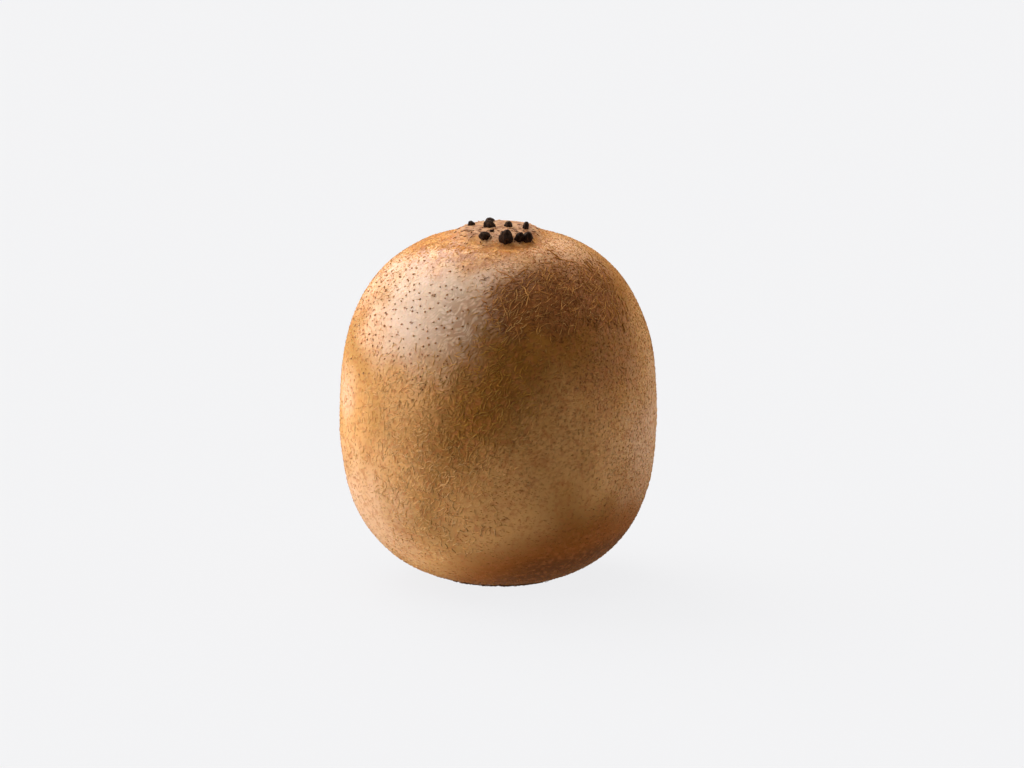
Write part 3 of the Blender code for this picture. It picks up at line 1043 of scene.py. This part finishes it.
def skin_tints(skin, place):
    """The skin's broad colours, partly painted light and shade, without its markings."""
    broad = skin.ramp(skin.noise(place, 0.07, 2.0), 0.35, 0.65)
    colour = skin.mix(broad, GOLDEN_BROWN, DULL_BROWN)
    ruddy = skin.ramp(skin.noise(place, 0.13, 3.0), 0.48, 0.70, 0.0, 0.6)
    colour = skin.mix(ruddy, colour, RUDDY_BROWN)
    for kind, strength, tint in PATCH_TINTS:
        colour = skin.mix(skin.times(skin.kept(kind), strength), colour, tint)
    tufts = skin.ramp(skin.noise(place, 0.6, 3.0), 0.40, 0.62)
    collar = skin.mix(tufts, TUFT_DARK, TUFT_LIGHT)
    colour = skin.mix(skin.times(skin.kept("collar"), 0.9), colour, collar)
    # The foot's browns, darkest in a band at the bottom: partly dark hair, partly painted shade.
    colour = skin.mix(skin.ramp(skin.kept("foot"), 0.05, 0.9), colour, FOOT_BROWN_AND_SHADE)
    return skin.mix(skin.ramp(skin.kept("foot"), 0.80, 1.08), colour, FOOT_DARK_AND_SHADE)


def skin_marks(skin, place, colour):
    """The colour with its markings, painted shade in the gaps of the down among them, and how much
    there is of those gaps and of dark spots.
    """
    bare, curly, nub = skin.kept("bare"), skin.kept("curly"), skin.kept("nub")
    marked = skin.ramp(skin.kept("smooth"), 0, 1, 1.0, 0.1)
    strokes = skin.cells(skin.combed_place(38, 5.0, 0.36), 1.75)
    gaps = skin.times(skin.ramp(strokes, 0.25, 0.62), marked)
    # The gaps in the down are darker: partly the skin's own colour, partly painted shade between the
    # hairs.
    colour = skin.mix(skin.times(gaps, skin.ramp(curly, 0, 1, 0.18, 0.55)), colour, GAP_BROWN_AND_SHADE)
    covered = skin.less(1.0, bare)
    mottles = skin.ramp(skin.noise(place, 1.1, 2.0), 0.48, 0.66, 0.0, 0.45)
    colour = skin.mix(skin.times(mottles, covered), colour, MOTTLE_BROWN)
    spots = skin.times(skin.ramp(skin.cells(place, 1.1), 0.15, 0.35, 0.4, 0.0), marked)
    open_skin = skin.times(covered, skin.less(1.0, nub))
    colour = skin.mix(skin.times(spots, open_skin), colour, SPOT_BROWN)
    cracks = skin.ramp(skin.noise(place, 0.9, 4.0, 0.6, 0.6), 0.35, 0.62)
    return skin.mix(nub, colour, skin.mix(cracks, NUB_DARK, NUB_LIGHT)), gaps, spots


def skin_material():
    """Golden-brown skin: broad tints, some partly painted light and shade, worm-like down and a fine
    grain, glossier where it is bare.
    """
    skin = Recipe("kiwi_skin", Metallic=0.0, IOR=1.2, Sheen_Weight=0.07, Sheen_Roughness=0.3)
    skin.shader.inputs["Coat Roughness"].default_value = 0.34
    skin.shader.inputs["Sheen Tint"].default_value = SHEEN_TINT
    skin.soften(0.25, 0.5)
    place = skin.place()
    colour, gaps, spots = skin_marks(skin, place, skin_tints(skin, place))
    skin.link(colour, "Base Color")

    bare, curly = skin.kept("bare"), skin.kept("curly")
    skin.link(skin.ramp(skin.noise(place, 0.8, 4.0, 0.6), 0.3, 0.7, 0.50, 0.66), "Roughness")
    skin.link(skin.times(bare, 0.85), "Coat Weight")
    grain = skin.times(skin.noise(place, 2.2, 4.0, 0.6), 0.6)
    relief = skin.times(skin.ramp(curly, 0, 1, -0.4, -1.2), skin.less(1.0, bare))
    height = skin.maths("ADD", skin.times(gaps, relief), grain)
    skin.bump(skin.less(height, spots), SKIN_BUMP, 0.8)
    return skin.material


def fuzz_material(name, root, tip, other):
    """Dry hair, darker at its root, with a tint of its own for each hair, darkened by painted shade on
    the darker skin.
    """
    fuzz = Recipe(name, Metallic=0.0, Roughness=0.6, IOR=1.2, Sheen_Weight=0.05)
    colour = fuzz.mix(fuzz.ramp(fuzz.kept("share"), 0.0, 0.6), root, tip)
    colour = fuzz.mix(fuzz.ramp(fuzz.kept("tint"), 0.3, 1.0, 0.0, 0.8), colour, other)
    patchy = fuzz.ramp(fuzz.noise(fuzz.place(), 0.35, 2.0), 0.3, 0.7, 0.78, 1.12)
    grey = fuzz.node("ShaderNodeCombineColor", {0: patchy, 1: patchy, 2: patchy}).outputs[0]
    colour = fuzz.mix(1.0, colour, grey, "MULTIPLY")
    # Painted shade: hair on the darker skin is darkened with it.
    shade = fuzz.mix(fuzz.kept("dark"), WHITE, PAINTED_SHADE_TINT)
    fuzz.link(fuzz.mix(1.0, colour, shade, "MULTIPLY"), "Base Color")
    return fuzz.material


def dried_material(name, dark, light, scale):
    """Dry, split plant tissue with paler worn ridges."""
    dried = Recipe(name, Metallic=0.0, IOR=1.2)
    fibres = dried.noise(dried.place((1, 1, 0.35)), scale, 5.0, 0.65, 0.4)
    dried.link(dried.mix(dried.ramp(fibres, 0.48, 0.75), dark, light), "Base Color")
    dried.link(dried.ramp(fibres, 0.3, 0.7, 0.9, 0.6), "Roughness")
    dried.bump(fibres, DRIED_BUMP)
    return dried.material


# ---- stage

AIM = Vector((0, 0, 31 * MM))
CAMERA_DISTANCE = 488.9 * MM
CAMERA_ELEVATION = 10
LENS_LENGTH = 100
SENSOR_WIDTH = 36
LENS_SHIFT = (0.0136, 0.0169)
CAMERA_REACH = 50
# Near enough for a camera that clips what is farther than a hundred times the fruit's radius.
FLOOR_RADIUS = 3.5
BACKDROP_HEIGHT = 3.0
STUDIO_SIDES = 64
PAPER_GLOW = (0.988, 0.988, 1.0, 1)
# How much each paper glows, and how pale it is in the light.
FLOOR_PAPER = (0.84, 0.045)
BACKDROP_PAPER = (0.90, 0.0)
WORLD_COLOUR = (0.95, 0.97, 1.0, 1)
WORLD_STRENGTH = 0.10
# Each light's azimuth and elevation, strength, the angle that it spreads over, and colour.
LIGHTS = {
    "key_light": (228, 45, 3.0, 50, WHITE),
    "side_light": (278, 5, 2.45, 50, (0.96, 1.0, 1.10)),
    "fill_light": (102, 2, 1.8, 50, WHITE),
    "top_light": (330, 80, 1.35, 60, WHITE),
    "back_light": (180, 45, 0.8, 50, WHITE),
    "low_light": (290, -50, 1.5, 60, WHITE),
}


def direction(azimuth, elevation):
    """The unit vector to a place on the sky: azimuth 0 is in front of the fruit, 90 at its right."""
    turn = math.radians(azimuth)
    rise = math.radians(elevation)
    level = math.cos(rise)
    return Vector((level * math.sin(turn), -level * math.cos(turn), math.sin(rise)))


def add_camera():
    """A long lens in front of the fruit, looking a little down on it."""
    data = bpy.data.cameras.new("camera")
    data.lens = LENS_LENGTH
    data.sensor_width = SENSOR_WIDTH
    data.clip_end = CAMERA_REACH
    data.shift_x, data.shift_y = LENS_SHIFT
    camera = add_object("camera", data)
    towards = direction(0, CAMERA_ELEVATION)
    camera.location = AIM + towards * CAMERA_DISTANCE
    camera.rotation_euler = towards.to_track_quat("Z", "Y").to_euler()
    bpy.context.scene.camera = camera


def add_light(name, azimuth, elevation, strength, spread, colour):
    """Soft light from one side of the studio, spread over an angle in degrees."""
    data = bpy.data.lights.new(name, "SUN")
    data.energy = strength
    data.angle = math.radians(spread)
    data.color = colour
    towards = direction(azimuth, elevation)
    add_object(name, data).rotation_euler = towards.to_track_quat("Z", "Y").to_euler()


def add_world():
    """A faint even light from all round."""
    world = bpy.data.worlds.new("studio")
    world.use_nodes = True
    background = world.node_tree.nodes["Background"]
    background.inputs["Color"].default_value = WORLD_COLOUR
    background.inputs["Strength"].default_value = WORLD_STRENGTH
    bpy.context.scene.world = world


def paper_material(name, glow, pale):
    """A pale surface that glows, so that shadows on it stay faint."""
    paper = Recipe(name, Roughness=0.9, Emission_Strength=glow)
    paper.shader.inputs["Specular IOR Level"].default_value = 0.0
    paper.shader.inputs["Emission Color"].default_value = PAPER_GLOW
    paper.shader.inputs["Base Color"].default_value = (pale, pale, pale * 1.01, 1)
    return paper.material


def add_stage_piece(name, vertices, faces, material):
    """A piece of the studio, which the fruit neither reflects nor is lit by."""
    mesh = bpy.data.meshes.new(name)
    mesh.from_pydata(vertices, [], faces)
    mesh.materials.append(material)
    piece = add_object(name, mesh)
    piece.visible_diffuse = False
    piece.visible_glossy = False
    piece.visible_shadow = False


def add_studio():
    """A plain pale floor with a plain pale wall all round it, and soft light."""
    sides = STUDIO_SIDES
    turns = [2 * math.pi * i / sides for i in range(sides)]
    low = [(FLOOR_RADIUS * math.cos(t), FLOOR_RADIUS * math.sin(t), 0) for t in turns]
    high = [(x, y, BACKDROP_HEIGHT) for x, y, _ in low]
    walls = [(i, (i + 1) % sides, sides + (i + 1) % sides, sides + i) for i in range(sides)]
    add_stage_piece("floor", low, [list(range(sides))], paper_material("floor_paper", *FLOOR_PAPER))
    add_stage_piece("backdrop", low + high, walls, paper_material("backdrop_paper", *BACKDROP_PAPER))
    for name, light in LIGHTS.items():
        add_light(name, *light)
    add_world()
    bpy.context.scene.view_settings.view_transform = "Standard"


def add_all_fuzz():
    """Every kind of fuzz with its material."""
    looks = {name: fuzz_material(name, *colours) for name, colours in FUZZ_COLOURS.items()}
    for number, kind in enumerate(FUZZ):
        for piece in add_fuzz(kind, FUZZ_SEED + number):
            piece.data.materials.append(looks[kind.look])


def add_dried_pieces():
    """The dried styles, the sepals and the stem's button with their materials."""
    style_look = dried_material("dried_style", *STYLE_COLOURS, 3.0)
    stem_look = dried_material("dried_stem", *STEM_COLOURS, 2.5)
    styles = sorted(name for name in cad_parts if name.startswith("dried_style"))
    for number, node in enumerate(styles):
        add_detailed(node, stub_rings(node, STUB_SEED + number), style_look)
    for number in range(SEPAL_COUNT):
        node = f"dried_sepal_{number + 1}"
        add_detailed(node, sepal_rings(node, number), stem_look)
    add_detailed("stem_scar", button_rings(), stem_look)


add_camera()
add_studio()
add_skin().data.materials.append(skin_material())
add_all_fuzz()
add_dried_pieces()
